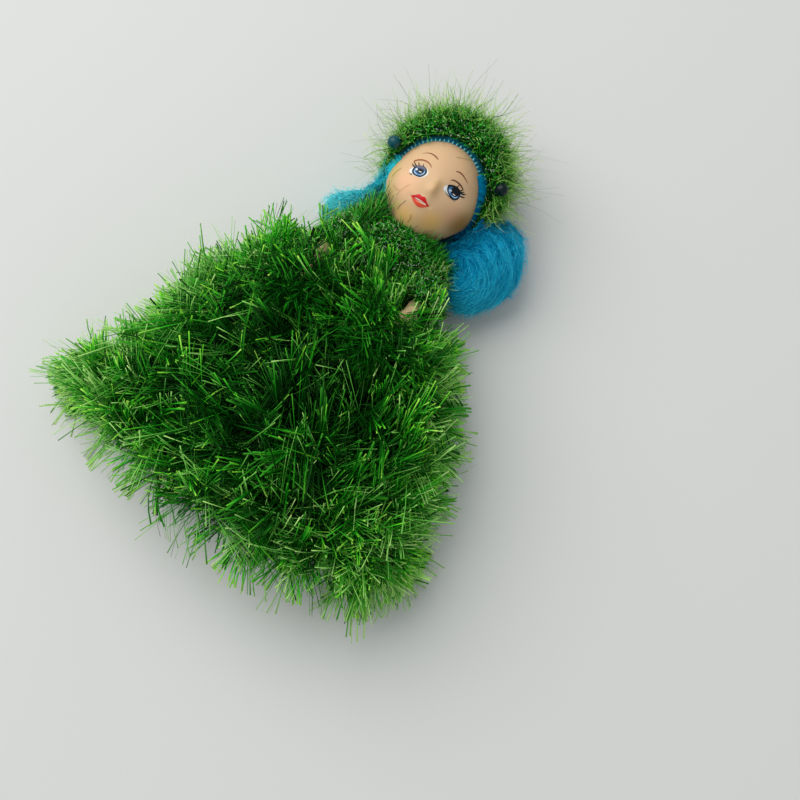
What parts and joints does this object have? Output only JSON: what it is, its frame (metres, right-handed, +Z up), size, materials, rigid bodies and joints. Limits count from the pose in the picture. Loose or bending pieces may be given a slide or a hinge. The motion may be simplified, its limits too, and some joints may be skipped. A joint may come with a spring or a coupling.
{
  "type": "doll in a shaggy knitted gown",
  "caption": "Small jointed vinyl doll lying on its back in a shaggy knitted gown, with a tinsel cap, loose hair and a turning head, arms and legs.",
  "frame": {"origin": "on the table, under the hip joints, on the doll's centre line", "axes": "the doll lies on its back: +X to its left, +Y from the feet to the crown, +Z up from the table through the face"},
  "size_m": [0.1089, 0.1471, 0.0426],
  "materials": {
    "skin": "soft satin vinyl",
    "hair": "fine combed fibre",
    "tinsel_knit": "knit with metallic tinsel",
    "skirt_yarn": "dark knit ground",
    "skirt_pile": "glossy ribbon-like blades",
    "pin_ball": "gloss"
  },
  "bodies": {
    "torso": {"torso_front": "skin", "torso_back": "skin", "bodice": "tinsel_knit", "skirt_knit": "skirt_yarn", "skirt_pile_top_left": "skirt_pile", "skirt_pile_top_right": "skirt_pile", "skirt_pile_side_left": "skirt_pile", "skirt_pile_side_right": "skirt_pile"},
    "head": {"head_shell": "skin", "hair_roots": "hair", "hair_bunch_left": "hair", "hair_bunch_right": "hair", "cap": "tinsel_knit", "cap_pin_left": "pin_ball", "cap_pin_right": "pin_ball"},
    "left_arm": {"arm_left": "skin", "sleeve_left": "tinsel_knit"},
    "right_arm": {"arm_right": "skin", "sleeve_right": "tinsel_knit"},
    "left_leg": {"leg_left": "skin"},
    "right_leg": {"leg_right": "skin"}
  },
  "joints": [
    {"name": "neck_turn", "type": "hinge", "parent": "torso", "child": "head", "pos_m": [0, 0.0395, 0.0145], "axis": [-0.0489, 0.9988, 0], "range_deg": [-40, 40], "deforming": ["hair_bunch_left", "hair_bunch_right"]},
    {"name": "left_shoulder", "type": "hinge", "parent": "torso", "child": "left_arm", "pos_m": [0.0103, 0.028, 0.0145], "axis": [-1, 0, 0], "range_deg": [0, 90], "deforming": ["sleeve_left"]},
    {"name": "right_shoulder", "type": "hinge", "parent": "torso", "child": "right_arm", "pos_m": [-0.0103, 0.028, 0.0145], "axis": [-1, 0, 0], "range_deg": [0, 90], "deforming": ["sleeve_right"]},
    {"name": "left_hip", "type": "hinge", "parent": "torso", "child": "left_leg", "pos_m": [0.0049, 0, 0.0145], "axis": [-1, 0, 0], "range_deg": [-5, 7]},
    {"name": "right_hip", "type": "hinge", "parent": "torso", "child": "right_leg", "pos_m": [-0.0049, 0, 0.0145], "axis": [-1, 0, 0], "range_deg": [-5, 7]}
  ]
}
